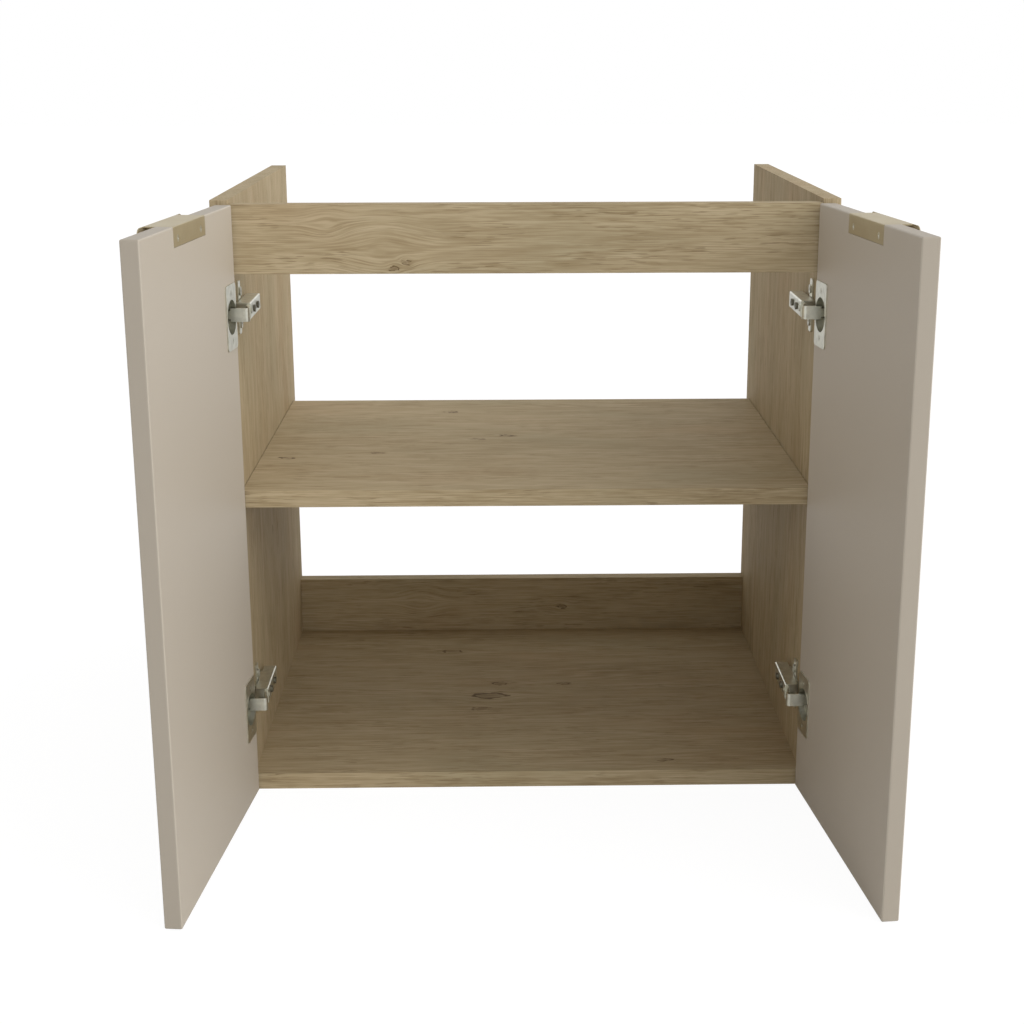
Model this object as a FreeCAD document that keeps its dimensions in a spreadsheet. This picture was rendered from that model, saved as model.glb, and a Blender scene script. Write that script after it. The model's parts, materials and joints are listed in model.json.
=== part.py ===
import FreeCAD, Part
import math
import os

import Sketcher
from FreeCAD import Placement, Rotation, Vector

# Sink base cabinet: an open-topped board carcass, two doors on sprung cup hinges, edge pulls.
# Millimetres, +Z up, front towards -Y. The origin is the middle of the carcass underside.
# The left half is modelled and the right half is its mirror image. The doors stand open, as
# stored: the swing closes them.

os.makedirs("parts", exist_ok=True)
document = FreeCAD.newDocument("sink_base_cabinet")


# ---------------------------------------------------------------- driving dimensions

DRIVING_SIZES = [
    # carcass
    ("carcass_width", 600.0), ("carcass_depth", 470.0), ("carcass_height", 604.0),
    ("board", 17.0), ("edge_strip", 1.0),
    ("front_rail_height", 66.0), ("front_rail_drop", 4.0), ("rear_rail_height", 69.0),
    ("shelf_top", 320.0), ("shelf_back_gap", 23.0), ("shelf_side_play", 0.5),
    # joinery
    ("dowel_diameter", 8.0), ("dowel_length", 30.0), ("dowel_chamfer", 1.0),
    ("dowel_in_side", 10.0), ("dowel_spread", 240.0),
    ("bolt_diameter", 6.8), ("bolt_length", 50.0), ("bolt_head_diameter", 10.0),
    ("bolt_head_height", 3.0), ("bolt_socket", 4.0), ("bolt_point", 3.4), ("bolt_tip", 2.3),
    ("bolt_spread", 370.0), ("rail_fixing_spread", 34.0),
    ("shelf_pin_diameter", 5.0), ("shelf_pin_length", 18.0), ("shelf_pin_in_side", 10.0),
    ("shelf_pin_inset", 60.0),
    # doors
    ("door_drop", 4.0), ("door_floor_gap", 1.0), ("door_thickness", 16.0), ("door_middle_gap", 3.0),
    ("door_side_reveal", 2.5), ("door_closed_gap", 3.5), ("door_edge_radius", 1.5),
    ("door_opening_angle", 95.5),
    # hinge, door half
    ("upper_hinge_below_rail", 37.0), ("lower_hinge_inset", 98.0),
    ("cup_diameter", 35.0), ("cup_depth", 13.0), ("cup_wall", 1.0), ("cup_from_edge", 21.5),
    ("cup_play", 0.1), ("lug_size", 6.6), ("flange_length", 62.0), ("flange_width", 36.0),
    ("flange_thickness", 1.2), ("flange_corner", 4.0), ("cup_screw_spread", 45.0),
    ("spring_length", 15.0), ("spring_width", 10.0), ("spring_thickness", 1.0),
    # hinge, pivot
    ("pivot_from_edge", 9.0), ("pivot_depth", 9.0), ("pivot_diameter", 3.0), ("pivot_length", 19.0),
    ("pivot_play", 0.05), ("knuckle_diameter", 5.4), ("knuckle_width", 8.0),
    ("knuckle_play", 0.75),
    # hinge, carcass half
    ("neck_sheet", 2.0), ("neck_width", 13.0), ("neck_reach", 23.5), ("neck_tongue", 5.5),
    ("neck_slope_end", 5.0), ("neck_tail", 12.0), ("neck_bend", 2.0), ("arm_play", 0.3),
    ("arm_front", 11.0), ("arm_length", 68.0), ("arm_width", 16.0), ("arm_height", 16.0),
    ("arm_sheet", 1.5), ("arm_leg_gap", 3.0), ("rivet_diameter", 3.0), ("rivet_from_front", 6.0),
    ("plate_setback", 37.0), ("plate_sheet", 2.0), ("plate_wing_span", 52.0), ("plate_wing_width", 13.0),
    ("plate_front", 24.0), ("plate_length", 46.0), ("plate_corner", 3.0),
    ("plate_screw_spread", 32.0), ("plate_screw_depth", 12.0), ("adjuster_setback", 32.0),
    ("clamp_setback", 57.0), ("arm_slot_width", 5.4), ("arm_slot_length", 11.0),
    # screws that share one pattern each
    ("wood_screw_diameter", 3.5), ("wood_screw_length", 12.0), ("wood_screw_head", 6.6),
    ("wood_screw_sink", 1.2), ("wood_screw_point", 2.8), ("wood_screw_tip", 0.6),
    ("plate_screw_diameter", 6.0), ("plate_screw_head", 9.0), ("plate_screw_head_height", 1.6),
    ("machine_screw_diameter", 4.0), ("machine_screw_head", 7.0), ("machine_screw_head_height", 2.0),
    ("machine_screw_length", 10.0), ("rivet_head", 6.0), ("rivet_head_height", 0.8),
    # edge pull
    ("pull_sheet", 1.2), ("pull_bend", 1.0), ("pull_play", 0.2),
    ("pull_tab_width", 102.0), ("pull_tab_height", 17.5),
    ("pull_lip_width", 136.0), ("pull_lip_height", 15.0), ("pull_lip_reach", 10.5),
    ("pull_lip_corner", 7.0), ("pull_screw_spread", 74.0), ("pull_screw_drop", 10.7),
]

CLOSE_ENOUGH = 0.01      # how far apart two places may be and still be taken as one
RECESS_LENGTH = 0.5      # a crossed recess: its length and width as shares of the head's width,
RECESS_WIDTH = 0.14      # and its depth as a share of the head's height
RECESS_DEPTH = 0.8

sheet = document.addObject("Spreadsheet::Sheet", "Sizes")
for row, (alias, number) in enumerate(DRIVING_SIZES, start=1):
    sheet.set(f"A{row}", alias)
    sheet.set(f"B{row}", str(number))
    sheet.setAlias(f"B{row}", alias)
document.recompute()


class Size:
    """A length held both as a number and as the sheet formula that gives it."""

    def __init__(self, number, formula):
        self.number = number
        self.formula = formula

    def __add__(self, other):
        other = as_size(other)
        return Size(self.number + other.number, f"({self.formula} + {other.formula})")

    def __sub__(self, other):
        other = as_size(other)
        return Size(self.number - other.number, f"({self.formula} - {other.formula})")

    def __mul__(self, factor):
        return Size(self.number * factor, f"({self.formula} * {factor})")

    def __truediv__(self, divisor):
        return Size(self.number / divisor, f"({self.formula} / {divisor})")

    def __neg__(self):
        return Size(-self.number, f"(0 - {self.formula})")

    def __float__(self):
        return float(self.number)


def as_size(thing):
    return thing if isinstance(thing, Size) else Size(float(thing), str(thing))


def size(alias):
    return Size(float(sheet.get(alias)), f"Sizes.{alias}")


def number(alias):
    return float(sheet.get(alias))


NOTHING = Size(0.0, "0")

width, depth, height = size("carcass_width"), size("carcass_depth"), size("carcass_height")
board, strip = size("board"), size("edge_strip")
inner_width = width - board * 2
side_inner_x = -(width / 2) + board
front_y = -(depth / 2)

shelf_under = size("shelf_top") - board
shelf_depth = depth - size("shelf_back_gap")
rail_top = height - size("front_rail_drop")
rail_under = rail_top - size("front_rail_height")
rail_middle = rail_top - size("front_rail_height") / 2
rear_rail_middle = board + size("rear_rail_height") / 2

door_thickness = size("door_thickness")
door_width = width / 2 - size("door_middle_gap") / 2 - size("door_side_reveal")
door_top = height - size("door_drop")
door_height = door_top - size("door_floor_gap")
hinge_heights = {
    "upper": rail_under - size("upper_hinge_below_rail"),
    "lower": size("door_floor_gap") + size("lower_hinge_inset"),
}


# ---------------------------------------------------------------- building blocks

def bind(thing, name, length):
    """Give a property its number and tie it to the sheet."""
    thing.setExpression(name, as_size(length).formula)


def new_body(label, x=NOTHING, y=NOTHING, z=NOTHING):
    body = document.addObject("PartDesign::Body", label)
    body.Label = label
    bind(body, "Placement.Base.x", x)
    bind(body, "Placement.Base.y", y)
    bind(body, "Placement.Base.z", z)
    return body


def new_sketch(body, role, level=NOTHING):
    """A sketch on one of the body's own origin planes, moved along the plane's normal to level."""
    plane = [feature for feature in body.Origin.OriginFeatures if feature.Role == role][0]
    sketch = body.newObject("Sketcher::SketchObject", body.Name + "_sketch")
    sketch.AttachmentSupport = (plane, [""])
    sketch.MapMode = "FlatFace"
    bind(sketch, "AttachmentOffset.Base.z", level)
    return sketch


def locate(sketch, geometry, point, x, y):
    """Hold one point of a sketch at x, y from the sketch's origin."""
    for kind, distance in (("DistanceX", x), ("DistanceY", y)):
        index = sketch.addConstraint(Sketcher.Constraint(kind, -1, 1, geometry, point, distance.number))
        sketch.setExpression(f"Constraints[{index}]", distance.formula)


def draw_polygon(sketch, corners):
    corners = [(as_size(x), as_size(y)) for x, y in corners]
    count = len(corners)
    first = sketch.GeometryCount
    for start, end in zip(corners, corners[1:] + corners[:1]):
        points = [Vector(float(x), float(y), 0) for x, y in (start, end)]
        sketch.addGeometry(Part.LineSegment(*points), False)
    for index in range(count):
        following = first + (index + 1) % count
        sketch.addConstraint(Sketcher.Constraint("Coincident", first + index, 2, following, 1))
    for index, (x, y) in enumerate(corners):
        locate(sketch, first + index, 1, x, y)


def draw_rectangle(sketch, x, y, along, up):
    x, y = as_size(x), as_size(y)
    draw_polygon(sketch, [(x, y), (x + along, y), (x + along, y + up), (x, y + up)])


def draw_circle(sketch, x, y, diameter):
    x, y = as_size(x), as_size(y)
    circle = Part.Circle(Vector(float(x), float(y), 0), Vector(0, 0, 1), float(diameter) / 2)
    geometry = sketch.addGeometry(circle, False)
    index = sketch.addConstraint(Sketcher.Constraint("Diameter", geometry, diameter.number))
    sketch.setExpression(f"Constraints[{index}]", diameter.formula)
    locate(sketch, geometry, 3, x, y)


def add_pad(body, sketch, length, both_ways=False, backwards=False):
    pad = body.newObject("PartDesign::Pad", body.Name + "_pad")
    pad.Profile = sketch
    bind(pad, "Length", length)
    pad.SideType = "Symmetric" if both_ways else "One side"
    pad.Reversed = backwards
    document.recompute()
    return pad


def add_pocket(body, sketch, length, backwards=False, both_ways=False):
    """Cut a pocket, and stop if it took nothing away."""
    before = body.Shape.Volume
    pocket = body.newObject("PartDesign::Pocket", body.Name + "_pocket")
    pocket.Profile = sketch
    bind(pocket, "Length", length)
    pocket.SideType = "Symmetric" if both_ways else "One side"
    pocket.Reversed = backwards
    document.recompute()
    if body.Shape.Volume >= before:
        raise RuntimeError(f"{body.Label}: a pocket cut nothing")
    return pocket


def add_holes(body, role, level, places, diameter, length, backwards=False):
    """Round holes of one size, drilled from level on an origin plane."""
    sketch = new_sketch(body, role, level)
    for x, y in places:
        draw_circle(sketch, x, y, diameter)
    return add_pocket(body, sketch, length, backwards)


def round_all_edges(body, radius):
    rounding = body.newObject("PartDesign::Fillet", body.Name + "_rounding")
    solid = body.Tip if body.Tip is not rounding else rounding.BaseFeature
    rounding.Base = (solid, [f"Edge{index + 1}" for index in range(len(solid.Shape.Edges))])
    bind(rounding, "Radius", radius)
    document.recompute()


def add_solids(label, solids):
    """One sub-part made of separate solids, such as a set of like screws."""
    feature = document.addObject("Part::Feature", label)
    feature.Label = label
    feature.Shape = solids[0] if len(solids) == 1 else Part.makeCompound(solids)
    return feature


def add_mirror_image(source, label):
    mirror = document.addObject("Part::Mirroring", label)
    mirror.Label = label
    mirror.Source = source
    mirror.Normal = Vector(1, 0, 0)
    return mirror


def rod(diameter, length, base, direction):
    return Part.makeCylinder(diameter / 2, length, Vector(*base), Vector(*direction))


def cone_rod(start_diameter, end_diameter, length, base, direction):
    radii = (start_diameter / 2, end_diameter / 2)
    return Part.makeCone(*radii, length, Vector(*base), Vector(*direction))


def box_between(low, high):
    corner = [min(pair) for pair in zip(low, high)]
    lengths = [abs(b - a) for a, b in zip(low, high)]
    box = Part.makeBox(*lengths)
    box.translate(Vector(*corner))
    return box


def find_edge(solid, middle):
    return min(solid.Edges, key=lambda edge: edge.CenterOfMass.sub(middle).Length)


# ---------------------------------------------------------------- carcass boards

joint_middle = board / 2
dowel_ys = [depth / 2 - size("dowel_spread") / 2, depth / 2 + size("dowel_spread") / 2]
bolt_ys = [depth / 2 - size("bolt_spread") / 2, depth / 2 + size("bolt_spread") / 2]
front_rail_y = board / 2
rear_rail_y = depth - board / 2
half_fixing = size("rail_fixing_spread") / 2

# Places of the joinery in a side board: distance from its front, height above its foot.
dowel_places = [(y, joint_middle) for y in dowel_ys]
dowel_places += [(front_rail_y, rail_middle + half_fixing), (rear_rail_y, rear_rail_middle + half_fixing)]
bolt_places = [(y, joint_middle) for y in bolt_ys]
bolt_places += [(front_rail_y, rail_middle - half_fixing), (rear_rail_y, rear_rail_middle - half_fixing)]
shelf_pin_z = shelf_under - size("shelf_pin_diameter") / 2
shelf_pin_places = [
    (size("shelf_pin_inset"), shelf_pin_z),
    (shelf_depth - size("shelf_pin_inset"), shelf_pin_z),
]
half_plate_spread = size("plate_screw_spread") / 2
plate_screw_places = [
    (size("plate_setback"), middle + offset)
    for middle in hinge_heights.values()
    for offset in (-half_plate_spread, half_plate_spread)
]


def build_side_panel():
    """The left side, drilled from inside for dowels, shelf pins and hinge plates."""
    body = new_body("side_panel_left", -(width / 2), front_y)
    outline = new_sketch(body, "YZ_Plane")
    draw_rectangle(outline, strip, NOTHING, depth - strip, height)
    add_pad(body, outline, board)
    add_holes(body, "YZ_Plane", board, dowel_places, size("dowel_diameter"), size("dowel_in_side"))
    add_holes(body, "YZ_Plane", board, bolt_places, size("bolt_diameter"), board)
    add_holes(body, "YZ_Plane", NOTHING, bolt_places, size("bolt_head_diameter"),
              size("bolt_head_height"), backwards=True)
    add_holes(body, "YZ_Plane", board, shelf_pin_places, size("shelf_pin_diameter"),
              size("shelf_pin_in_side"))
    add_holes(body, "YZ_Plane", board, plate_screw_places, size("plate_screw_diameter"),
              size("plate_screw_depth"))
    return body


def build_cross_board(label, start_y, start_z, along_y, up_z, dowels, bolts, play=NOTHING):
    """A board between the sides, drilled in both ends. Places are distances from start_y, start_z."""
    length = inner_width - play * 2
    body = new_body(label, side_inner_x + play, start_y, start_z)
    outline = new_sketch(body, "YZ_Plane")
    draw_rectangle(outline, NOTHING, NOTHING, along_y, up_z)
    add_pad(body, outline, length)
    dowel_reach = size("dowel_length") - size("dowel_in_side")
    bolt_reach = size("bolt_length") - board
    for places, diameter, reach in (
        (dowels, size("dowel_diameter"), dowel_reach),
        (bolts, size("bolt_diameter"), bolt_reach),
    ):
        if places:
            add_holes(body, "YZ_Plane", NOTHING, places, diameter, reach, backwards=True)
            add_holes(body, "YZ_Plane", length, places, diameter, reach)
    return body


side_panel_left = build_side_panel()
side_panel_right = add_mirror_image(side_panel_left, "side_panel_right")
bottom_panel = build_cross_board(
    "bottom_panel", front_y + strip, NOTHING, depth - strip, board,
    [(y - strip, joint_middle) for y in dowel_ys],
    [(y - strip, joint_middle) for y in bolt_ys],
)
shelf = build_cross_board(
    "shelf", front_y + strip, shelf_under, shelf_depth - strip, board, [], [], size("shelf_side_play"),
)
front_top_rail = build_cross_board(
    "front_top_rail", front_y, rail_under, board, size("front_rail_height"),
    [(joint_middle, size("front_rail_height") / 2 + half_fixing)],
    [(joint_middle, size("front_rail_height") / 2 - half_fixing)],
)
rear_bottom_rail = build_cross_board(
    "rear_bottom_rail", depth / 2 - board, board, board, size("rear_rail_height"),
    [(joint_middle, size("rear_rail_height") / 2 + half_fixing)],
    [(joint_middle, size("rear_rail_height") / 2 - half_fixing)],
)


def build_edge_strip(label, x, z, along_x, up_z):
    """A glued strip that covers a board's front edge."""
    body = new_body(label, x, front_y, z)
    outline = new_sketch(body, "XY_Plane")
    draw_rectangle(outline, NOTHING, NOTHING, along_x, strip)
    add_pad(body, outline, up_z)
    return body


edge_strip_left = build_edge_strip("edge_strip_left", -(width / 2), NOTHING, board, height)
edge_strip_right = add_mirror_image(edge_strip_left, "edge_strip_right")
build_edge_strip("edge_strip_bottom", side_inner_x, NOTHING, inner_width, board)
build_edge_strip("edge_strip_shelf", side_inner_x + size("shelf_side_play"), shelf_under,
                 inner_width - size("shelf_side_play") * 2, board)


# ---------------------------------------------------------------- carcass fixings

def both_sides(make, places):
    """Solids at each place of the joinery, on the left side and then on the right."""
    solids = []
    for hand in (-1, 1):
        for along, up in places:
            solids.append(make(hand, float(front_y + along), float(up)))
    return solids


def make_dowel(hand, y, z):
    """A beech dowel with chamfered ends, across the joint between a side and a board."""
    names = ("length", "diameter", "chamfer")
    length, diameter, chamfer = (number("dowel_" + name) for name in names)
    start = hand * (-float(side_inner_x) + number("dowel_in_side"))
    inward = (-hand, 0, 0)
    tip_diameter = diameter - 2 * chamfer
    ends = [
        cone_rod(tip_diameter, diameter, chamfer, (start, y, z), inward),
        cone_rod(diameter, tip_diameter, chamfer, (start - hand * (length - chamfer), y, z), inward),
    ]
    middle = rod(diameter, length - 2 * chamfer, (start - hand * chamfer, y, z), inward)
    return middle.fuse(ends).removeSplitter()


def make_bolt(hand, y, z):
    """A one-piece carcass bolt with its flat head let into the side's outer face."""
    start = hand * float(width) / 2
    inward = (-hand, 0, 0)
    head_height, shank = number("bolt_head_height"), number("bolt_diameter")
    head = rod(number("bolt_head_diameter"), head_height, (start, y, z), inward)
    shank_start = start - hand * head_height
    reach = number("bolt_length") - head_height
    point, tip_diameter, socket_width = (number("bolt_" + name) for name in ("point", "tip", "socket"))
    thread = rod(shank, reach - point, (shank_start, y, z), inward)
    tip_start = (shank_start - hand * (reach - point), y, z)
    tip = cone_rod(shank, tip_diameter, point, tip_start, inward)
    socket = Part.makeBox(head_height, socket_width, socket_width)
    corner_x = min(start, start - hand * head_height)
    socket.translate(Vector(corner_x, y - socket_width / 2, z - socket_width / 2))
    return head.fuse([thread, tip]).cut(socket).removeSplitter()


def make_shelf_pin(hand, y, z):
    start = hand * (-float(side_inner_x) + number("shelf_pin_in_side"))
    return rod(number("shelf_pin_diameter"), number("shelf_pin_length"), (start, y, z), (-hand, 0, 0))


add_solids("carcass_dowels", both_sides(make_dowel, dowel_places))
add_solids("carcass_bolts", both_sides(make_bolt, bolt_places))
add_solids("shelf_pins", both_sides(make_shelf_pin, shelf_pin_places))


# ---------------------------------------------------------------- the door's place

# The pivot, in the door's own frame (x from the hinge edge, y from the inner face) and in the room.
pivot_in_door = Vector(number("pivot_from_edge"), -number("pivot_depth"), 0)
pivot = Vector(
    -float(width) / 2 + number("door_side_reveal") + pivot_in_door.x,
    float(front_y) - number("door_closed_gap") + pivot_in_door.y,
    0,
)
open_turn = Rotation(Vector(0, 0, 1), -number("door_opening_angle"))
open_place = Placement(pivot - open_turn.multVec(pivot_in_door), open_turn)


def hang_on_door(feature, door_height_above=0.0):
    """Put a piece made in the door's own frame where the open left door holds it."""
    feature.setExpression("Placement.Base.x", None)
    feature.setExpression("Placement.Base.y", None)
    feature.setExpression("Placement.Base.z", None)
    feature.Placement = Placement(open_place.Base + Vector(0, 0, door_height_above), open_turn)


# ---------------------------------------------------------------- doors

pull_middle = door_width / 2
pull_screw_z = door_top - size("pull_screw_drop")
pull_screw_places = [
    (pull_middle - size("pull_screw_spread") / 2, pull_screw_z),
    (pull_middle + size("pull_screw_spread") / 2, pull_screw_z),
]
cup_screw_places = [
    (size("cup_from_edge"), middle + offset)
    for middle in hinge_heights.values()
    for offset in (-(size("cup_screw_spread") / 2), size("cup_screw_spread") / 2)
]


def build_door():
    """A flat door with softened edges, bored for the cups and let in for the pull."""
    body = new_body("door_left")
    outline = new_sketch(body, "XZ_Plane")
    draw_rectangle(outline, NOTHING, size("door_floor_gap"), door_width, door_height)
    add_pad(body, outline, door_thickness)
    round_all_edges(body, size("door_edge_radius"))
    bores = [(size("cup_from_edge"), middle) for middle in hinge_heights.values()]
    bore_diameter = size("cup_diameter") + size("cup_play") * 2
    add_holes(body, "XZ_Plane", NOTHING, bores, bore_diameter, size("cup_depth") + size("cup_play"),
              backwards=True)
    rebate_start = pull_middle - size("pull_tab_width") / 2 - size("pull_play")
    rebate_width = size("pull_tab_width") + size("pull_play") * 2
    rebate_height = size("pull_tab_height") + size("pull_play")
    behind = new_sketch(body, "XZ_Plane")
    draw_rectangle(behind, rebate_start, door_top - rebate_height, rebate_width, rebate_height)
    add_pocket(body, behind, size("pull_sheet"), backwards=True)
    on_top = new_sketch(body, "XY_Plane", door_top)
    draw_rectangle(on_top, rebate_start, -door_thickness, rebate_width, door_thickness)
    add_pocket(body, on_top, size("pull_sheet"))
    add_holes(body, "XZ_Plane", NOTHING, cup_screw_places + pull_screw_places,
              size("wood_screw_diameter"), size("wood_screw_length"), backwards=True)
    hang_on_door(body)
    return body


door_left = build_door()
door_right = add_mirror_image(door_left, "door_right")


# ---------------------------------------------------------------- edge pulls

def make_countersunk_hole(x, z, from_y, through):
    """Clearance for a countersunk wood screw, driven towards -Y from from_y."""
    shank, head, sink = (number("wood_screw_" + name) for name in ("diameter", "head", "sink"))
    hole = rod(shank, through, (x, from_y, z), (0, -1, 0))
    return hole.fuse(cone_rod(head, shank, sink, (x, from_y, z), (0, -1, 0)))


def make_wood_screw(x, z, from_y):
    """A countersunk screw with its flat head at from_y and a crossed recess in it."""
    names = ("diameter", "head", "sink", "length", "point", "tip")
    shank, head, sink, length, point, tip = (number("wood_screw_" + name) for name in names)
    inward = (0, -1, 0)
    screw = cone_rod(head, shank, sink, (x, from_y, z), inward)
    screw = screw.fuse([
        rod(shank, length - sink - point, (x, from_y - sink, z), inward),
        cone_rod(shank, tip, point, (x, from_y - length + point, z), inward),
    ])
    long_side, short_side, deep = head * RECESS_LENGTH, head * RECESS_WIDTH, sink * RECESS_DEPTH
    for across, up in ((long_side, short_side), (short_side, long_side)):
        slot = Part.makeBox(across, deep, up)
        slot.translate(Vector(x - across / 2, from_y - deep, z - up / 2))
        screw = screw.cut(slot)
    return screw.removeSplitter()


def make_pull():
    """A pressed edge pull: tab and bridge let into the door, and a wider rounded lip in front."""
    gauge, top = number("pull_sheet"), float(door_top)
    half_tab, half_lip = number("pull_tab_width") / 2, number("pull_lip_width") / 2
    front = -float(door_thickness) - number("pull_lip_reach")
    tab = box_between((-half_tab, -gauge, top - number("pull_tab_height")), (half_tab, 0, top))
    bridge = box_between((-half_tab, front, top - gauge), (half_tab, 0, top))
    lip = box_between((-half_lip, front, top - number("pull_lip_height")),
                      (half_lip, front + gauge, top))
    corners = [edge for edge in lip.Edges if abs(edge.BoundBox.YLength - edge.Length) < CLOSE_ENOUGH]
    lip = lip.makeFillet(number("pull_lip_corner"), corners)
    pull = tab.fuse([bridge, lip]).removeSplitter()
    bends = [find_edge(pull, Vector(0, y, top)) for y in (0, front)]
    pull = pull.makeFillet(number("pull_bend"), bends)
    pull.translate(Vector(float(pull_middle), 0, 0))
    for x, z in pull_screw_places:
        pull = pull.cut(make_countersunk_hole(float(x), float(z), 0, gauge))
    return pull


pull_left = add_solids("pull_left", [make_pull()])
hang_on_door(pull_left)
add_mirror_image(pull_left, "pull_right")
pull_screws_left = add_solids("pull_screws_left", [
    make_wood_screw(float(x), float(z), 0) for x, z in pull_screw_places
])
hang_on_door(pull_screws_left)
add_mirror_image(pull_screws_left, "pull_screws_right")


# ---------------------------------------------------------------- hinge cups

def draw_circle_segment(sketch, x, y, diameter, chord_x):
    """The part of a circle to the right of an upright chord, closed by that chord."""
    radius = float(diameter) / 2
    away = float(x) - float(chord_x)
    half_chord = math.sqrt(radius ** 2 - away ** 2)
    turn = math.atan2(half_chord, -away)
    round_part = Part.Circle(Vector(float(x), float(y), 0), Vector(0, 0, 1), radius)
    arc = sketch.addGeometry(Part.ArcOfCircle(round_part, -turn, turn), False)
    ends = [Vector(float(chord_x), float(y) + rise, 0) for rise in (half_chord, -half_chord)]
    chord = sketch.addGeometry(Part.LineSegment(*ends), False)
    sketch.addConstraint(Sketcher.Constraint("Coincident", arc, 2, chord, 1))
    sketch.addConstraint(Sketcher.Constraint("Coincident", arc, 1, chord, 2))
    sketch.addConstraint(Sketcher.Constraint("Vertical", chord))
    index = sketch.addConstraint(Sketcher.Constraint("Diameter", arc, diameter.number))
    sketch.setExpression(f"Constraints[{index}]", diameter.formula)
    locate(sketch, arc, 3, x, as_size(y))
    index = sketch.addConstraint(Sketcher.Constraint("DistanceX", -1, 1, chord, 1, chord_x.number))
    sketch.setExpression(f"Constraints[{index}]", chord_x.formula)


def build_cup(which):
    """A pressed cup with a screwed flange, and two lugs inside that carry the pivot pin.

    Its frame is the door's, at the hinge's height.
    """
    body = new_body(f"hinge_cup_{which}_left")
    middle = size("cup_from_edge")
    flange_low = -(size("flange_length") / 2)
    flange = new_sketch(body, "XZ_Plane")
    draw_rectangle(flange, middle - size("flange_width") / 2, flange_low,
                   size("flange_width"), size("flange_length"))
    pad = add_pad(body, flange, size("flange_thickness"), backwards=True)
    corners = body.newObject("PartDesign::Fillet", body.Name + "_corners")
    upright = [
        f"Edge{index + 1}" for index, edge in enumerate(pad.Shape.Edges)
        if abs(edge.BoundBox.YLength - edge.Length) < CLOSE_ENOUGH
    ]
    corners.Base = (pad, upright)
    bind(corners, "Radius", size("flange_corner"))
    document.recompute()
    drum = new_sketch(body, "XZ_Plane")
    draw_circle(drum, middle, NOTHING, size("cup_diameter"))
    add_pad(body, drum, size("cup_depth"))

    # The mouth is cut to the lugs' tops, then deeper beside them and between them.
    mouth_diameter = size("cup_diameter") - size("cup_wall") * 2
    flange_face = -size("flange_thickness")
    half_lug = size("lug_size") / 2
    lug_top = size("pivot_depth") - half_lug
    floor = size("cup_depth") - size("cup_wall")
    add_holes(body, "XZ_Plane", flange_face, [(middle, NOTHING)], mouth_diameter,
              size("flange_thickness") + lug_top, backwards=True)
    beside_lugs = new_sketch(body, "XZ_Plane", lug_top)
    draw_circle_segment(beside_lugs, middle, NOTHING, mouth_diameter, size("pivot_from_edge") + half_lug)
    add_pocket(body, beside_lugs, floor - lug_top, backwards=True)
    between_lugs = new_sketch(body, "XZ_Plane", lug_top)
    lug_gap = size("knuckle_width") + size("knuckle_play") * 2
    slot_start = middle - mouth_diameter / 2 + size("cup_wall") / 2
    draw_rectangle(between_lugs, slot_start, -(lug_gap / 2),
                   size("pivot_from_edge") + half_lug + size("cup_wall") - slot_start, lug_gap)
    add_pocket(body, between_lugs, floor - lug_top, backwards=True)

    pin_hole = new_sketch(body, "XY_Plane")
    draw_circle(pin_hole, size("pivot_from_edge"), -size("pivot_depth"), size("pivot_diameter"))
    add_pocket(body, pin_hole, size("pivot_length"), both_ways=True)
    half_spread = size("cup_screw_spread") / 2
    sinks = new_sketch(body, "XZ_Plane", flange_face)
    for z in (-half_spread, half_spread):
        draw_circle(sinks, middle, z, size("wood_screw_head"))
    cone = add_pocket(body, sinks, size("wood_screw_sink"), backwards=True)
    spread = (number("wood_screw_head") - number("wood_screw_diameter")) / 2
    cone.TaperAngle = -math.degrees(math.atan2(spread, number("wood_screw_sink")))
    document.recompute()
    hang_on_door(body, float(hinge_heights[which]))
    return body


def build_pivot_pin(which):
    body = new_body(f"pivot_pin_{which}_left")
    round_end = new_sketch(body, "XY_Plane")
    draw_circle(round_end, size("pivot_from_edge"), -size("pivot_depth"), size("pivot_diameter"))
    add_pad(body, round_end, size("pivot_length"), both_ways=True)
    hang_on_door(body, float(hinge_heights[which]))
    return body


def build_cup_spring(which):
    """The leaf that presses the neck, lying on the cup's floor."""
    body = new_body(f"cup_spring_{which}_left")
    floor = size("cup_depth") - size("cup_wall")
    leaf = new_sketch(body, "XZ_Plane", floor - size("spring_thickness"))
    draw_rectangle(leaf, size("cup_from_edge") - size("spring_length") / 2, -(size("spring_width") / 2),
                   size("spring_length"), size("spring_width"))
    add_pad(body, leaf, size("spring_thickness"))
    hang_on_door(body, float(hinge_heights[which]))
    return body


for which in hinge_heights:
    for build, name in ((build_cup, "hinge_cup"), (build_pivot_pin, "pivot_pin"),
                        (build_cup_spring, "cup_spring")):
        add_mirror_image(build(which), f"{name}_{which}_right")

cup_screws_left = add_solids("cup_screws_left", [
    make_wood_screw(float(x), float(z), number("flange_thickness")) for x, z in cup_screw_places
])
hang_on_door(cup_screws_left)
add_mirror_image(cup_screws_left, "cup_screws_right")


# ---------------------------------------------------------------- hinge arms on the sides

# In this half's frame x runs from the side's inner face, y from the carcass front, z from the
# hinge's middle.
arm_inside = size("arm_height") - size("arm_sheet")
arm_inner_width = size("arm_width") - size("arm_sheet") * 2
block_width = arm_inner_width - size("arm_play") * 2
pivot_x = size("door_side_reveal") + size("pivot_from_edge") - board
pivot_y = -(size("door_closed_gap") + size("pivot_depth"))
screw_slots = [size("adjuster_setback"), size("clamp_setback")]
plate_screw_zs = (-half_plate_spread, half_plate_spread)


def new_side_body(label, which):
    return new_body(label, side_inner_x, front_y, hinge_heights[which])


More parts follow.
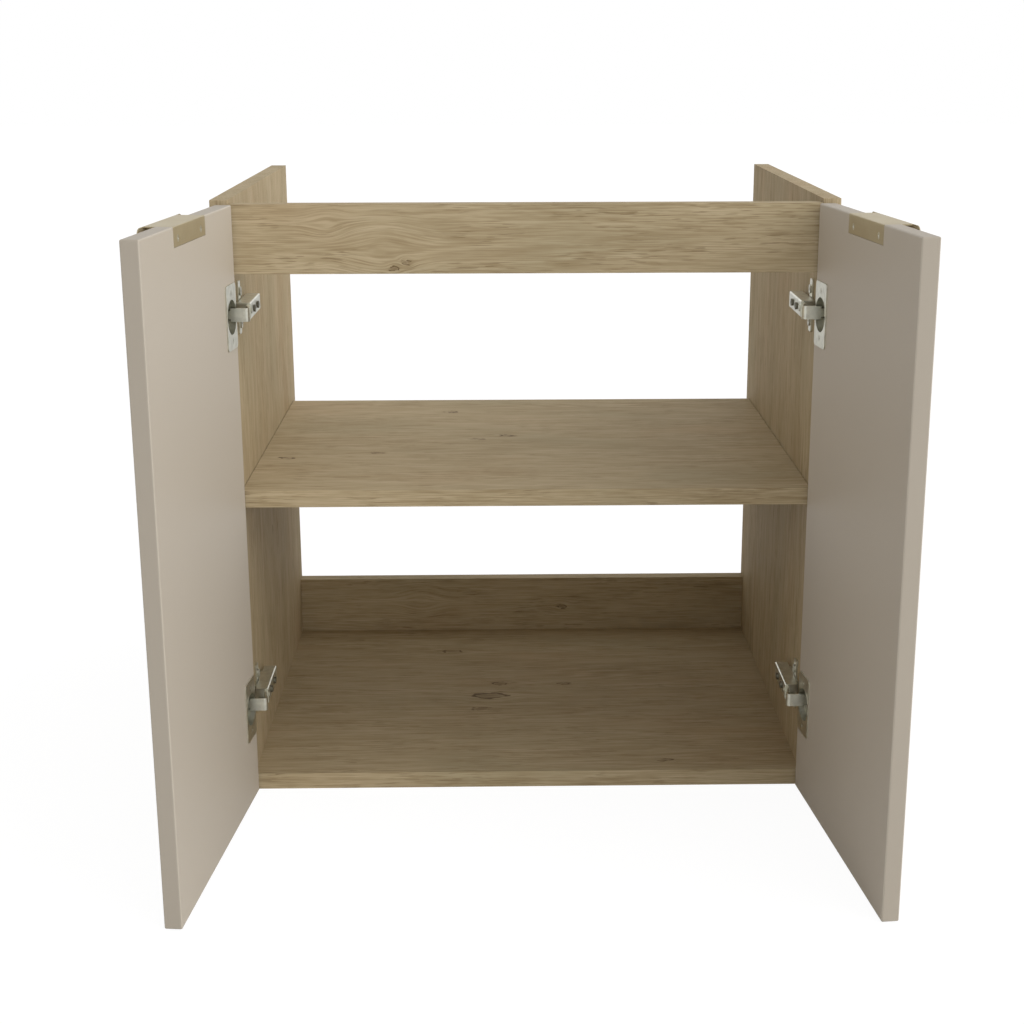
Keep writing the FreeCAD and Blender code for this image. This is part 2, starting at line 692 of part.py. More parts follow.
def build_mounting_plate(which):
    """A cross-shaped plate: two wings screwed to the side, and a block that the arm sits on."""
    body = new_side_body(f"mounting_plate_{which}_left", which)
    wings = new_sketch(body, "YZ_Plane")
    draw_rectangle(wings, size("plate_setback") - size("plate_wing_width") / 2,
                   -(size("plate_wing_span") / 2), size("plate_wing_width"), size("plate_wing_span"))
    pad = add_pad(body, wings, size("plate_sheet"))
    corners = body.newObject("PartDesign::Fillet", body.Name + "_corners")
    upright = [
        f"Edge{index + 1}" for index, edge in enumerate(pad.Shape.Edges)
        if abs(edge.BoundBox.XLength - edge.Length) < CLOSE_ENOUGH
    ]
    corners.Base = (pad, upright)
    bind(corners, "Radius", size("plate_corner"))
    document.recompute()
    block = new_sketch(body, "YZ_Plane")
    draw_rectangle(block, size("plate_front"), -(block_width / 2), size("plate_length"), block_width)
    add_pad(body, block, arm_inside)
    places = [(size("plate_setback"), z) for z in plate_screw_zs]
    add_holes(body, "YZ_Plane", size("plate_sheet"), places, size("plate_screw_diameter"),
              size("plate_sheet"))
    add_holes(body, "YZ_Plane", arm_inside, [(y, NOTHING) for y in screw_slots],
              size("machine_screw_diameter"), size("machine_screw_length") - size("arm_sheet"))
    return body


def build_arm(which):
    """A pressed channel over the plate's block, slotted so that it can be set in and out."""
    body = new_side_body(f"hinge_arm_{which}_left", which)
    outside = new_sketch(body, "YZ_Plane", size("arm_leg_gap"))
    draw_rectangle(outside, size("arm_front"), -(size("arm_width") / 2), size("arm_length"),
                   size("arm_width"))
    add_pad(body, outside, size("arm_height") - size("arm_leg_gap"))
    long_edges = body.newObject("PartDesign::Fillet", body.Name + "_rounding")
    solid = long_edges.BaseFeature
    top = number("arm_height")
    edges = [
        f"Edge{index + 1}" for index, edge in enumerate(solid.Shape.Edges)
        if abs(edge.CenterOfMass.x - top) < CLOSE_ENOUGH
        and abs(edge.BoundBox.YLength - edge.Length) < CLOSE_ENOUGH
    ]
    long_edges.Base = (solid, edges)
    bind(long_edges, "Radius", size("arm_sheet"))
    document.recompute()
    channel = new_sketch(body, "YZ_Plane", size("arm_leg_gap"))
    draw_rectangle(channel, size("arm_front"), -(arm_inner_width / 2),
                   size("arm_length") - size("arm_sheet"), arm_inner_width)
    add_pocket(body, channel, arm_inside - size("arm_leg_gap"), backwards=True)
    half_run = (size("arm_slot_length") - size("arm_slot_width")) / 2
    slots = new_sketch(body, "YZ_Plane", size("arm_height"))
    for y in screw_slots:
        draw_rectangle(slots, y - half_run, -(size("arm_slot_width") / 2), half_run * 2,
                       size("arm_slot_width"))
    add_pocket(body, slots, size("arm_sheet"))
    for side_of_slot in (-1, 1):
        ends = [(y + half_run * side_of_slot, NOTHING) for y in screw_slots]
        add_holes(body, "YZ_Plane", size("arm_height"), ends, size("arm_slot_width"), size("arm_sheet"))
    rivet_y = size("arm_front") + size("rivet_from_front")
    add_holes(body, "YZ_Plane", size("arm_height"), [(rivet_y, NOTHING)], size("rivet_diameter"),
              size("arm_sheet"))
    return body


def sheet_outline(path, gauge):
    """The outline of a bent sheet whose middle follows path: one side out, the other side back."""
    sides = []
    for offset in (gauge / 2, -gauge / 2):
        side = []
        for index, point in enumerate(path):
            before = (point - path[index - 1]).normalize() if index else None
            after = (path[index + 1] - point).normalize() if index + 1 < len(path) else before
            before = before or after
            left_before = Vector(-before.y, before.x, 0)
            left_after = Vector(-after.y, after.x, 0)
            mitre = (left_before + left_after).normalize()
            side.append(point + mitre * (offset / mitre.dot(left_after)))
        sides.append(side)
    return sides[0] + sides[1][::-1]


def make_neck(which):
    """The bent plate from the arm's nose into the cup, ending in the knuckle round the pin."""
    gauge = number("neck_sheet")
    middle_x = float(arm_inside) - gauge / 2
    start_y = number("arm_front")
    tail_end = start_y + number("neck_tail")
    path = [
        Vector(float(pivot_x), float(pivot_y), 0),
        Vector(float(pivot_x) + number("neck_reach"), float(pivot_y), 0),
        Vector(middle_x, number("neck_slope_end"), 0),
        Vector(middle_x, tail_end, 0),
    ]
    corners = sheet_outline(path, gauge)
    half_width = number("neck_width") / 2
    outline = Part.Face(Part.makePolygon(corners + corners[:1]))
    plate = outline.extrude(Vector(0, 0, 2 * half_width))
    plate.translate(Vector(0, 0, -half_width))
    for bend in path[1:3]:
        for edge in [edge for edge in plate.Edges if edge.BoundBox.ZLength > 2 * half_width - CLOSE_ENOUGH]:
            near = edge.CenterOfMass.sub(Vector(bend.x, bend.y, 0)).Length < gauge
            if near:
                inside = is_inner_edge(edge.CenterOfMass, bend, path)
                radius = number("neck_bend") + (0 if inside else gauge)
                plate = plate.makeFillet(radius, [find_edge(plate, edge.CenterOfMass)])
    tongue_end = float(pivot_x) + number("neck_tongue")
    knuckle_radius = number("knuckle_diameter") / 2
    half_tongue = number("knuckle_width") / 2
    half_tail = float(block_width) / 2
    for hand in (-1, 1):
        beside_tongue = box_between(
            (float(pivot_x) - 2 * knuckle_radius, float(pivot_y) - gauge, hand * half_tongue),
            (tongue_end, float(pivot_y) + gauge, hand * (half_width + 1)),
        )
        beside_tail = box_between(
            (middle_x - gauge, start_y - number("arm_play"), hand * half_tail),
            (middle_x + gauge, tail_end + 1, hand * (half_width + 1)),
        )
        plate = plate.cut([beside_tongue, beside_tail])
    base = (float(pivot_x), float(pivot_y), -half_tongue)
    plate = plate.fuse(rod(2 * knuckle_radius, 2 * half_tongue, base, (0, 0, 1)))
    bore = number("pivot_diameter") + 2 * number("pivot_play")
    plate = plate.cut(rod(bore, 2 * half_tongue, base, (0, 0, 1)))
    rivet_y = start_y + number("rivet_from_front")
    rivet_base = (middle_x - gauge / 2, rivet_y, 0)
    plate = plate.cut(rod(number("rivet_diameter"), gauge, rivet_base, (1, 0, 0)))
    neck = add_solids(f"hinge_neck_{which}_left", [plate.removeSplitter()])
    neck.Placement.Base = Vector(float(side_inner_x), float(front_y), float(hinge_heights[which]))
    return neck


def is_inner_edge(point, bend, path):
    """True on the hollow side of a bend: the side where the path's neighbours lie closer."""
    index = path.index(bend)
    neighbours = (path[index - 1] + path[index + 1]) * 0.5
    flat = Vector(point.x, point.y, 0)
    return flat.sub(neighbours).Length < bend.sub(neighbours).Length


for which in hinge_heights:
    for build, name in ((build_mounting_plate, "mounting_plate"), (build_arm, "hinge_arm"),
                        (make_neck, "hinge_neck")):
        add_mirror_image(build(which), f"{name}_{which}_right")


# ---------------------------------------------------------------- hinge fixings on the sides

def on_each_hinge(make, places):
    """Solids at each place of every hinge; a place is y from the front, z from the hinge's middle."""
    solids = []
    for hand in (-1, 1):
        for middle in hinge_heights.values():
            for y, z in places:
                solids.append(make(hand, float(front_y + y), float(middle + z)))
    return solids


def headed_pin(hand, face, y, z, head, shank):
    """A round head standing on a face parallel to the side, and its shank going back into it.

    The face is given by its distance from the side's inner face; head and shank are
    (diameter, length) pairs.
    """
    start = hand * (-float(side_inner_x) - face)
    outward = (-hand, 0, 0)
    inward = (hand, 0, 0)
    return rod(*head, (start, y, z), outward).fuse(rod(*shank, (start, y, z), inward))


def cross_recess(hand, face, y, z, head):
    """Two crossed slots sunk into a head of (diameter, height) whose flat top is at face."""
    start = hand * (-float(side_inner_x) - face)
    end = start + hand * head[1] * RECESS_DEPTH
    long_side, short_side = head[0] * RECESS_LENGTH / 2, head[0] * RECESS_WIDTH / 2
    slots = [
        box_between((start, y - reach, z - rise), (end, y + reach, z + rise))
        for reach, rise in ((long_side, short_side), (short_side, long_side))
    ]
    return slots[0].fuse(slots[1])


def make_plate_screw(hand, y, z):
    face, head_height = number("plate_sheet"), number("plate_screw_head_height")
    head = (number("plate_screw_head"), head_height)
    shank = (number("plate_screw_diameter"), face + number("plate_screw_depth"))
    screw = headed_pin(hand, face, y, z, head, shank)
    recess = cross_recess(hand, face + head_height, y, z, head)
    return screw.cut(recess).removeSplitter()


def make_arm_screw(hand, y, z):
    face, head_height = number("arm_height"), number("machine_screw_head_height")
    head = (number("machine_screw_head"), head_height)
    shank = (number("machine_screw_diameter"), number("machine_screw_length"))
    screw = headed_pin(hand, face, y, z, head, shank)
    recess = cross_recess(hand, face + head_height, y, z, head)
    return screw.cut(recess).removeSplitter()


def make_rivet(hand, y, z):
    head = (number("rivet_head"), number("rivet_head_height"))
    shank = (number("rivet_diameter"), number("arm_sheet") + number("neck_sheet"))
    return headed_pin(hand, number("arm_height"), y, z, head, shank).removeSplitter()


add_solids("hinge_plate_screws", on_each_hinge(
    make_plate_screw, [(size("plate_setback"), z) for z in plate_screw_zs]))
add_solids("hinge_arm_screws", on_each_hinge(make_arm_screw, [(y, NOTHING) for y in screw_slots]))
add_solids("neck_rivets", on_each_hinge(
    make_rivet, [(size("arm_front") + size("rivet_from_front"), NOTHING)]))


# ---------------------------------------------------------------- check and save

document.recompute()
for thing in document.Objects:
    if "Invalid" in thing.State or "Error" in thing.State:
        raise RuntimeError(f"{thing.Label}: {thing.State}")

saved_types = ("PartDesign::Body", "Part::Feature", "Part::Mirroring")
for piece in [thing for thing in document.Objects if thing.TypeId in saved_types]:
    if piece.Shape.isNull() or not piece.Shape.isValid() or not piece.Shape.Solids:
        raise RuntimeError(f"{piece.Label}: the shape is not a valid solid")
    piece.Shape.exportStep(f"parts/{piece.Label}.step")
print(f"{len(os.listdir('parts'))} parts saved")
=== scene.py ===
import json
import math

import bmesh
import bpy
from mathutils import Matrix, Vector

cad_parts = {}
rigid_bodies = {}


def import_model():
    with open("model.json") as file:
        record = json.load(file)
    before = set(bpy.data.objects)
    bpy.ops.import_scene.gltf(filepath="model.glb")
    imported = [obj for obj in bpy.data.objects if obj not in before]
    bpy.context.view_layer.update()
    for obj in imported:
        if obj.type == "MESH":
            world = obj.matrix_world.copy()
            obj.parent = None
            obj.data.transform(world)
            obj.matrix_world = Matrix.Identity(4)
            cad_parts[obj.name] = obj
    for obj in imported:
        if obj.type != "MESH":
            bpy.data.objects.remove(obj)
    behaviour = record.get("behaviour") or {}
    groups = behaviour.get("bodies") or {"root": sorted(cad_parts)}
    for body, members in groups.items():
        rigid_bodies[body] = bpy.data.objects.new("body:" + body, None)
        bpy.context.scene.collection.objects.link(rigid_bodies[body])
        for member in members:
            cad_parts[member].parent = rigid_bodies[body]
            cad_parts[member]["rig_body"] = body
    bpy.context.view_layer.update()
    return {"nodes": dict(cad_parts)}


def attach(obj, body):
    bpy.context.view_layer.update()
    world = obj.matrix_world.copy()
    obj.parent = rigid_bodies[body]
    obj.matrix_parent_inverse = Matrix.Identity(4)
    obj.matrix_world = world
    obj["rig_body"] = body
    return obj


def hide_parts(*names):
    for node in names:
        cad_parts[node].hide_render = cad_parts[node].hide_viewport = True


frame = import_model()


# ---- Carcass boards -------------------------------------------------------------------------
# Six boards of chipboard faced with light oak-grain laminate. The grain stands upright on the
# two sides and runs from side to side on the bottom, the shelf and both rails. Every arris is
# eased a fraction of a millimetre, as the edging machine leaves it.

def linear(red, green, blue):
    """A colour written as 0-255 screen values, as Blender's linear RGBA."""
    shares = [value / 255 for value in (red, green, blue)]
    return (*[s / 12.92 if s <= 0.04045 else ((s + 0.055) / 1.055) ** 2.4 for s in shares], 1.0)


class Shade:
    """A shader socket that can be used in sums; numbers and sockets mix freely."""

    tree = None

    def __init__(self, socket):
        self.socket = socket

    @classmethod
    def node(cls, kind, settings=None, out=0, **inputs):
        """Add a node with these settings and inputs; out is the output to go on with."""
        made = cls.tree.nodes.new("ShaderNode" + kind)
        for name, value in (settings or {}).items():
            setattr(made, name, value)
        feed(made, **inputs)
        return cls(made.outputs[out])

    def math(self, operation, *others):
        values = {f"_{index}": value for index, value in enumerate((self, *others))}
        return Shade.node("Math", {"operation": operation}, **values)

    def __add__(self, other):
        return self.math("ADD", other)

    def __sub__(self, other):
        return self.math("SUBTRACT", other)

    def __mul__(self, other):
        return self.math("MULTIPLY", other)

    def __rsub__(self, other):
        return Shade.node("Math", {"operation": "SUBTRACT"}, _0=other, _1=self)

    __radd__ = __add__

    def between(self, low, high, to_low=0.0, to_high=1.0):
        """Smoothly from to_low at low to to_high at high, and level outside them."""
        settings = {"interpolation_type": "SMOOTHSTEP"}
        return Shade.node("MapRange", settings, Value=self, From_Min=low, From_Max=high,
                          To_Min=to_low, To_Max=to_high)

    def mix(self, first, second):
        """First and second colour mixed by this factor."""
        return Shade.node("Mix", {"data_type": "RGBA"}, out=2, _0=self, _6=first, _7=second)


def feed(node, **inputs):
    """Give each named input of a node its constant or link; _0 means the first input."""
    for name, value in inputs.items():
        socket = node.inputs[int(name[1:]) if name[0] == "_" else name.replace("_", " ")]
        if isinstance(value, Shade):
            Shade.tree.links.new(value.socket, socket)
        else:
            socket.default_value = value


def material(name):
    """A new material with one Principled shader; returns it and that shader's node."""
    made = bpy.data.materials.new(name)
    made.use_nodes = True
    Shade.tree = made.node_tree
    return made, made.node_tree.nodes["Principled BSDF"]


def object_point():
    return Shade.node("TexCoord", out="Object")


def stretched(lengths, place=(0, 0, 0), point=None):
    """A point (the object's own by default) moved by place and divided by a length per axis,
    in metres."""
    scale = tuple(1 / length for length in lengths)
    start = tuple(p / length for p, length in zip(place, lengths))
    return Shade.node("Mapping", Vector=point or object_point(), Location=start, Scale=scale)


def noise(vector, detail=2.0, roughness=0.5):
    return Shade.node("TexNoise", Vector=vector, Scale=1.0, Detail=detail, Roughness=roughness)


def vector_math(operation, first, second, out="Vector"):
    return Shade.node("VectorMath", {"operation": operation}, out=out, _0=first, _1=second)


def vector_length(vector):
    return Shade.node("VectorMath", {"operation": "LENGTH"}, out="Value", _0=vector)


OAK_LIGHT = linear(198, 181, 149)
OAK_MIDDLE = linear(181, 163, 130)
OAK_DARK = linear(153, 133, 99)
OAK_PORE = linear(118, 97, 66)
OAK_KNOT = linear(90, 68, 44)
OAK_OLIVE = linear(168, 158, 128)
OAK_WARM = linear(191, 162, 126)

GRAIN_UP = (1, 1, 9)
GRAIN_ACROSS = (9, 1, 1)

RING_FREQUENCY = 95.0
KNOT_DARKEST = 0.80


def oak(name, grain, place, knots=(), swirls=()):
    """Printed oak. Grain gives how much longer the figure is along each axis; place picks where
    on the print this board was cut from. Knots and swirls are (x, y, z, radius): the grain
    flows round both, and a knot also has a dark, broken heart."""
    made, shader = material(name)
    point = object_point()
    across = tuple(0.0 if share > 1 else 1.0 for share in grain)

    def drawn_out(width, power):
        """A length per axis: width across the grain, longer along it as power grows."""
        return tuple(width * share ** power for share in grain)

    def figure(at, width, power=1.0, start=place, **settings):
        return noise(stretched(drawn_out(width, power), start, at), **settings)

    flowing, clear = point, 1.0
    for *middle, radius in (*knots, *swirls):
        away = vector_math("SUBTRACT", point, middle)
        distance = vector_length(vector_math("DIVIDE", away, drawn_out(radius, 0.20)))
        pull = distance.between(0.0, 2.3, 0.85, 0.0)
        push = vector_math("MULTIPLY", vector_math("MULTIPLY", away, across), pull)
        flowing = vector_math("SUBTRACT", flowing, push)
        clear = distance.between(0.4, 1.3) * clear

    hearts = 0.0
    for *middle, radius in knots:
        away = vector_math("SUBTRACT", point, middle)
        heart = vector_length(vector_math("DIVIDE", away, drawn_out(radius * 0.62, 0.30)))
        ragged = figure(point, width=radius * 0.7, power=0.45, detail=3.0)
        heart = heart + (ragged - 0.5) * 2.4
        crack = (heart - 0.85).math("ABSOLUTE").between(0.26, 0.06)
        broken = figure(point, width=radius * 0.8, power=0.3, start=place[::-1])
        hearts = hearts + crack * broken.between(0.42, 0.52)
        hearts = hearts + heart.between(1.1, 0.2, 0.0, 0.35)

    plank = figure(flowing, width=0.050)
    rings = (plank * RING_FREQUENCY).math("SINE") * 0.5 + 0.5
    ring_patches = figure(point, width=0.075, power=0.6).between(0.42, 0.66)
    bands = figure(flowing, width=0.010, power=1.1, detail=4.0, roughness=0.60)
    cloud = figure(point, width=0.10, power=0.4, detail=3.0)
    fibre = figure(flowing, width=0.0009, power=1.75, roughness=0.6)
    strands = figure(flowing, width=0.0017, power=1.55, roughness=0.6)
    busy = figure(point, width=0.022, power=0.6)
    pores = figure(flowing, width=0.0011, power=1.35, detail=1.0).between(0.60, 0.68)
    pores = pores * busy.between(0.42, 0.60, 0.15, 1.0) * clear

    layers = [
        (bands.between(0.30, 0.70) * 0.65, OAK_MIDDLE),
        (cloud.between(0.50, 0.72, 0.0, 0.42), OAK_OLIVE),
        (cloud.between(0.48, 0.28, 0.0, 0.35), OAK_WARM),
        (rings * ring_patches * 0.40, OAK_DARK),
        (strands.between(0.48, 0.62) * busy.between(0.30, 0.60, 0.22, 0.55), OAK_DARK),
        (fibre.between(0.40, 0.66) * 0.45, OAK_DARK),
        (pores * 0.52, OAK_PORE),
    ]
    if knots:
        layers.append((hearts.math("MINIMUM", KNOT_DARKEST), OAK_KNOT))
    colour = OAK_LIGHT
    for amount, tint in layers:
        colour = amount.mix(colour, tint)

    relief = Shade.node("Bump", Height=fibre * 0.4 - pores * 0.6, Strength=0.25, Distance=0.0002)
    rough = 0.64 + pores * 0.10 + (bands - 0.5) * 0.10
    feed(shader, Base_Color=colour, Roughness=rough, Normal=relief, Specular_IOR_Level=0.08)
    return made


SAME_POINT = 1e-6
FLAT_BELOW, EASED_ABOVE, SHARP_ABOVE = [math.radians(angle) for angle in (1, 35, 40)]


def softened(node, arris, segments=2):
    """A new piece in a CAD node's place: the same shape with its sharp edges eased by arris."""
    mesh = bmesh.new()
    mesh.from_mesh(frame["nodes"][node].data)
    bmesh.ops.remove_doubles(mesh, verts=mesh.verts, dist=SAME_POINT)
    bmesh.ops.dissolve_limit(mesh, angle_limit=FLAT_BELOW, verts=mesh.verts, edges=mesh.edges)
    sharp = [e for e in mesh.edges if e.is_manifold and e.calc_face_angle() > EASED_ABOVE]
    bmesh.ops.bevel(mesh, geom=sharp, offset=arris, offset_type="OFFSET", segments=segments,
                    profile=0.5, affect="EDGES", clamp_overlap=True, material=-1)
    for face in mesh.faces:
        face.smooth = True
    data = bpy.data.meshes.new(node + "_finished")
    mesh.to_mesh(data)
    mesh.free()
    data.set_sharp_from_angle(angle=SHARP_ABOVE)
    piece = bpy.data.objects.new(node + "_finished", data)
    piece.modifiers.new("flat_faces_stay_flat", "WEIGHTED_NORMAL").keep_sharp = True
    bpy.context.scene.collection.objects.link(piece)
    return piece


def finish_piece(piece, node, finish):
    """Give the piece its material, and put it on the node's body in the node's place."""
    piece.data.materials.clear()
    piece.data.materials.append(finish)
    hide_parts(node)
    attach(piece, frame["nodes"][node]["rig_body"])


BOARD_ARRIS = 0.0004
boards = {
    "side_panel_left": dict(
        grain=GRAIN_UP, place=(0.3, 0.1, 0.7),
        knots=[(-0.283, -0.021, 0.221, 0.004)],
        swirls=[(-0.283, 0.090, 0.430, 0.015)]),
    "side_panel_right": dict(
        grain=GRAIN_UP, place=(1.7, 0.4, 0.2),
        swirls=[(0.283, -0.060, 0.400, 0.013)]),
    "bottom_panel": dict(
        grain=GRAIN_ACROSS, place=(0.9, 1.3, 0.4),
        knots=[(-0.038, -0.016, 0.017, 0.017), (-0.028, 0.022, 0.017, 0.008),
               (-0.090, 0.135, 0.017, 0.010), (0.046, 0.020, 0.017, 0.006),
               (-0.051, -0.058, 0.017, 0.009), (0.146, -0.209, 0.017, 0.006)]),
    "shelf": dict(
        grain=GRAIN_ACROSS, place=(2.1, 0.6, 1.1),
        knots=[(-0.087, 0.139, 0.320, 0.008), (-0.056, -0.008, 0.320, 0.009),
               (-0.020, 0.008, 0.320, 0.008), (-0.256, -0.094, 0.320, 0.007),
               (-0.159, -0.074, 0.320, 0.006)]),
    "front_top_rail": dict(
        grain=GRAIN_ACROSS, place=(0.5, 2.2, 0.9),
        knots=[(-0.115, -0.235, 0.545, 0.004), (-0.127, -0.235, 0.539, 0.004)],
        swirls=[(-0.137, -0.235, 0.556, 0.018), (-0.190, -0.235, 0.582, 0.009)]),
    "rear_bottom_rail": dict(
        grain=GRAIN_ACROSS, place=(1.2, 0.8, 2.4),
        knots=[(0.050, 0.218, 0.048, 0.005)],
        swirls=[(-0.130, 0.218, 0.056, 0.013)]),
}
for node, figuring in boards.items():
    finish_piece(softened(node, BOARD_ARRIS), node, oak(node + "_oak", **figuring))


# ---- Edge strips ----------------------------------------------------------------------------
# Millimetre-thick strips glued over the boards' raw front edges, printed with the same oak and
# with the grain along the strip.

strips = {
    "edge_strip_left": dict(grain=GRAIN_UP, place=(0.31, 0.1, 0.7)),
    "edge_strip_right": dict(grain=GRAIN_UP, place=(1.72, 0.4, 0.2)),
    "edge_strip_bottom": dict(grain=GRAIN_ACROSS, place=(0.92, 1.3, 0.4)),
    "edge_strip_shelf": dict(grain=GRAIN_ACROSS, place=(2.15, 0.6, 1.1)),
}
for node, figuring in strips.items():
    finish_piece(softened(node, BOARD_ARRIS), node, oak(node + "_oak", **figuring))


# ---- Doors ----------------------------------------------------------------------------------
# Two flat board doors in matt taupe lacquer with a very fine orange peel. The narrow edges
# get a darker copy of the lacquer: painted shade, for the dimmer light on them.

def even_noise(width, **settings):
    """Noise of one width in all directions, in metres."""
    return noise(stretched([width] * 3), **settings)


def lacquer(name, light, dark):
    """Matt lacquer that wanders slowly between two shades."""
    made, shader = material(name)
    cloud = even_noise(0.5, detail=1.0)
    peel = even_noise(0.0016, roughness=0.6)
    colour = cloud.between(0.3, 0.7).mix(light, dark)
    relief = Shade.node("Bump", Height=peel, Strength=0.10, Distance=0.0001)
    feed(shader, Base_Color=colour, Roughness=0.52 + (peel - 0.5) * 0.08, Normal=relief,
         Specular_IOR_Level=0.35)
    return made


DOOR_ARRIS = 0.0001
taupe = lacquer("taupe_lacquer", linear(195, 185, 170), linear(193, 183, 168))
# A darker copy of the lacquer for the narrow edges, as painted shade.
taupe_shaded_edges = lacquer("taupe_lacquer_painted_shade_on_edges", linear(180, 170, 155), linear(178, 168, 153))
for hand in ("left", "right"):
    node = "door_" + hand
    door = softened(node, DOOR_ARRIS, segments=1)
    finish_piece(door, node, taupe)
    door.data.materials.append(taupe_shaded_edges)
    through = min(range(3), key=lambda axis: door.dimensions[axis])
    for face in door.data.polygons:
        on_an_edge = abs(face.normal[through]) < 0.5
        face.material_index = int(on_an_edge)


# ---- Edge pulls -----------------------------------------------------------------------------
# Each pull is one pressed plate in satin champagne: a tab screwed to the door's back, a bridge
# over its top edge and, in front, a wider lip with rounded ends for the fingers.

def champagne():
    made, shader = material("satin_champagne")
    brushed = noise(stretched([0.03, 0.03, 0.0004]))
    mottle = even_noise(0.02)
    colour = mottle.between(0.3, 0.7).mix(linear(181, 168, 136), linear(177, 163, 131))
    relief = Shade.node("Bump", Height=brushed, Strength=0.08, Distance=0.0001)
    feed(shader, Base_Color=colour, Metallic=0.50, Roughness=0.46 + (brushed - 0.5) * 0.15,
         Normal=relief)
    return made


PULL_ARRIS = 0.0004
pull_finish = champagne()
for hand in ("left", "right"):
    node = "pull_" + hand
    finish_piece(softened(node, PULL_ARRIS), node, pull_finish)


# ---- Hinges ---------------------------------------------------------------------------------
# Four concealed hinges pressed from nickel-plated steel. The cup sits in the door, a bent neck
# comes out of it and is riveted into a slotted arm, and the arm is clamped on a winged plate.

NICKEL = linear(222, 221, 207)
# The colour the cups' hollows are darkened towards: painted shade.
WELL_PAINTED_SHADE = linear(172, 169, 152)
WELL_EDGE, WELL_INSIDE = 0.0205, 0.0175
BLOTCH_DARKNESS = 0.82


def plated(name, colour, roughness, well=None):
    """Plated steel; well is the middle of a hollow: towards it the colour is painted darker, as
    painted shade, and the roughness goes up."""
    made, shader = material(name)
    blotch = even_noise(0.006, detail=3.0)
    grit = even_noise(0.0006)
    darker = (*[BLOTCH_DARKNESS * part for part in colour[:3]], 1.0)
    shade = blotch.between(0.3, 0.75).mix(colour, darker)
    relief = Shade.node("Bump", Height=grit, Strength=0.12, Distance=0.0001)
    rough = roughness + (blotch - 0.5) * 0.16
    if well:
        depth = vector_length(vector_math("SUBTRACT", object_point(), well))
        deep = depth.between(WELL_EDGE, WELL_INSIDE)
        # Painted shade: the colour darkens deeper in the hollow, which is also made rougher.
        shade = (deep * 0.80).mix(shade, WELL_PAINTED_SHADE)
        rough = rough + deep * 0.20
    feed(shader, Base_Color=shade, Metallic=1.0, Roughness=rough, Normal=relief)
    return made


nickel = plated("satin_nickel", NICKEL, 0.33)
screw_metal = plated("screw_nickel", linear(206, 204, 190), 0.36)
zinc = plated("bright_zinc", linear(186, 188, 184), 0.36)

SHEET_ARRIS = 0.00035
PIN_ARRIS = 0.0002
for height in ("upper", "lower"):
    for hand in ("left", "right"):
        leaf = frame["nodes"][f"cup_spring_{height}_{hand}"].bound_box
        cup_floor = tuple(sum((Vector(corner) for corner in leaf), Vector()) / 8)
        node = f"hinge_cup_{height}_{hand}"
        finish = plated(f"{height}_{hand}_cup_nickel", NICKEL, 0.33, cup_floor)
        finish_piece(softened(node, SHEET_ARRIS), node, finish)
        for part in ("hinge_neck", "hinge_arm", "mounting_plate"):
            node = f"{part}_{height}_{hand}"
            finish_piece(softened(node, SHEET_ARRIS), node, nickel)
        for part in ("pivot_pin", "cup_spring"):
            node = f"{part}_{height}_{hand}"
            finish_piece(softened(node, PIN_ARRIS), node, zinc)


# ---- Screws, rivets, bolts, dowels and pins -------------------------------------------------
# The small fixings: nickel screws and rivets in the hinges and pulls, zinc carcass bolts with
# their heads flush in the sides, beech dowels and steel shelf pins.

def beech():
    made, shader = material("beech_dowel")
    fleck = noise(stretched([0.012, 0.0008, 0.0008]))
    colour = fleck.between(0.35, 0.7).mix(linear(206, 172, 130), linear(184, 146, 102))
    feed(shader, Base_Color=colour, Roughness=0.6)
    return made


FIXING_ARRIS = 0.00015
fixings = {
    "cup_screws_left": screw_metal, "cup_screws_right": screw_metal,
    "pull_screws_left": screw_metal, "pull_screws_right": screw_metal,
    "hinge_plate_screws": screw_metal, "neck_rivets": screw_metal,
    "hinge_arm_screws": plated("dark_zinc", linear(120, 117, 104), 0.42),
    "carcass_bolts": zinc, "shelf_pins": zinc, "carcass_dowels": beech(),
}
for node, finish in fixings.items():
    finish_piece(softened(node, FIXING_ARRIS, segments=1), node, finish)


# ---- Studio ---------------------------------------------------------------------------------
# A pale floor that fades into a white background. The light comes from white surroundings that
# are brightest to the right and a little to the front, and from one weak, large lamp there.

WHITE = (1.0, 1.0, 1.0, 1.0)
FLOOR_GREY = (0.86, 0.86, 0.86, 1.0)
FLOOR_HALF_WIDTH = 14.0
FLOOR_GLOW = 1.09
FLOOR_GLOW_SHARE = 0.86
AMBIENT = 0.48
BRIGHT_SIDE = (0.814, -0.470, 0.342)
BRIGHT_GAIN = 1.62
BRIGHT_FOCUS = 3.0


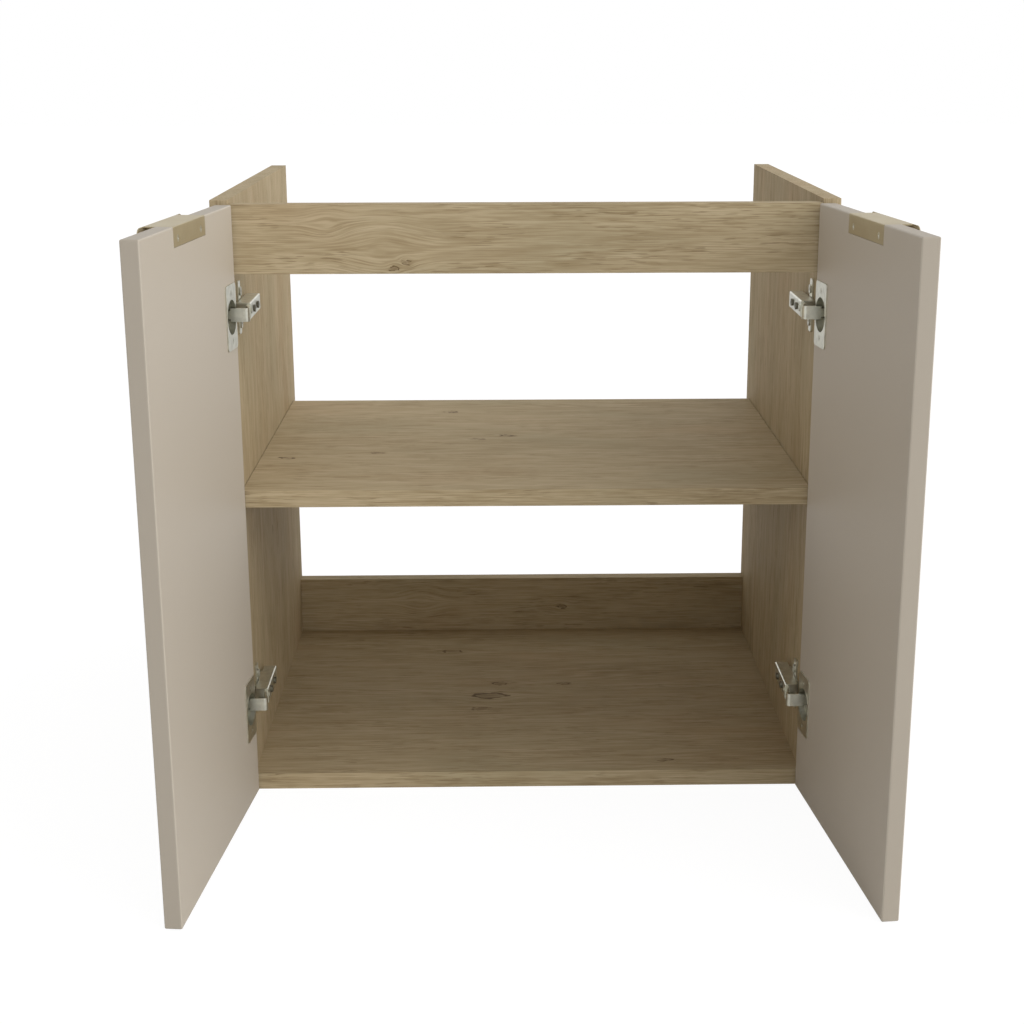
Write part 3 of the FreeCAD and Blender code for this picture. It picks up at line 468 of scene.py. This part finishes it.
def floor_plane():
    """The floor; the camera sees it almost white, so that it runs into the background."""
    mesh = bmesh.new()
    bmesh.ops.create_grid(mesh, x_segments=1, y_segments=1, size=FLOOR_HALF_WIDTH)
    data = bpy.data.meshes.new("floor")
    mesh.to_mesh(data)
    mesh.free()
    floor = bpy.data.objects.new("floor", data)
    bpy.context.scene.collection.objects.link(floor)
    made, shader = material("pale_floor")
    feed(shader, Base_Color=FLOOR_GREY, Roughness=0.9, Specular_IOR_Level=0.1)
    seen = Shade.node("LightPath", out="Is Camera Ray") * FLOOR_GLOW_SHARE
    glow = Shade.node("Emission", Color=WHITE, Strength=FLOOR_GLOW)
    blend = Shade.node("MixShader", _0=seen, _1=Shade(shader.outputs[0]), _2=glow)
    feed(Shade.tree.nodes["Material Output"], Surface=blend)
    floor.data.materials.append(made)


def white_world():
    """Plain white where it is seen or mirrored, and the uneven glow for all other light."""
    world = bpy.data.worlds.new("white_room")
    bpy.context.scene.world = world
    world.use_nodes = True
    Shade.tree = world.node_tree
    seen = Shade.node("LightPath", out="Is Camera Ray")
    for ray in ("Is Glossy Ray", "Is Transmission Ray"):
        seen = seen.math("MAXIMUM", Shade.node("LightPath", out=ray))
    direction = Shade.node("TexCoord", out="Generated")
    towards = vector_math("DOT_PRODUCT", direction, BRIGHT_SIDE, out="Value")
    lobe = towards.math("MAXIMUM", 0.0).math("POWER", BRIGHT_FOCUS)
    glow = lobe * BRIGHT_GAIN + AMBIENT
    feed(Shade.tree.nodes["Background"], Color=WHITE, Strength=glow * (1.0 - seen) + seen)


floor_plane()
white_world()

lamp = bpy.data.lights.new("key", "AREA")
lamp.shape = "RECTANGLE"
lamp.size = lamp.size_y = 3.6
lamp.energy = 20.0
key = bpy.data.objects.new("key", lamp)
key.location = (2.9, -2.2, 2.0)
aim = Vector((0.0, -0.2, 0.3)) - key.location
key.rotation_euler = aim.to_track_quat("-Z", "Y").to_euler()
bpy.context.scene.collection.objects.link(key)

camera_data = bpy.data.cameras.new("camera")
camera_data.sensor_width = 36.0
camera_data.lens = 61.10
camera_data.shift_x = -0.0219
camera_data.shift_y = 0.0235
camera = bpy.data.objects.new("camera", camera_data)
camera.location = (-0.0244, -1.907, 0.7509)
camera.rotation_euler = [math.radians(angle) for angle in (74.013, 0.075, -1.106)]
bpy.context.scene.collection.objects.link(camera)
bpy.context.scene.camera = camera
bpy.context.scene.view_settings.view_transform = "Standard"
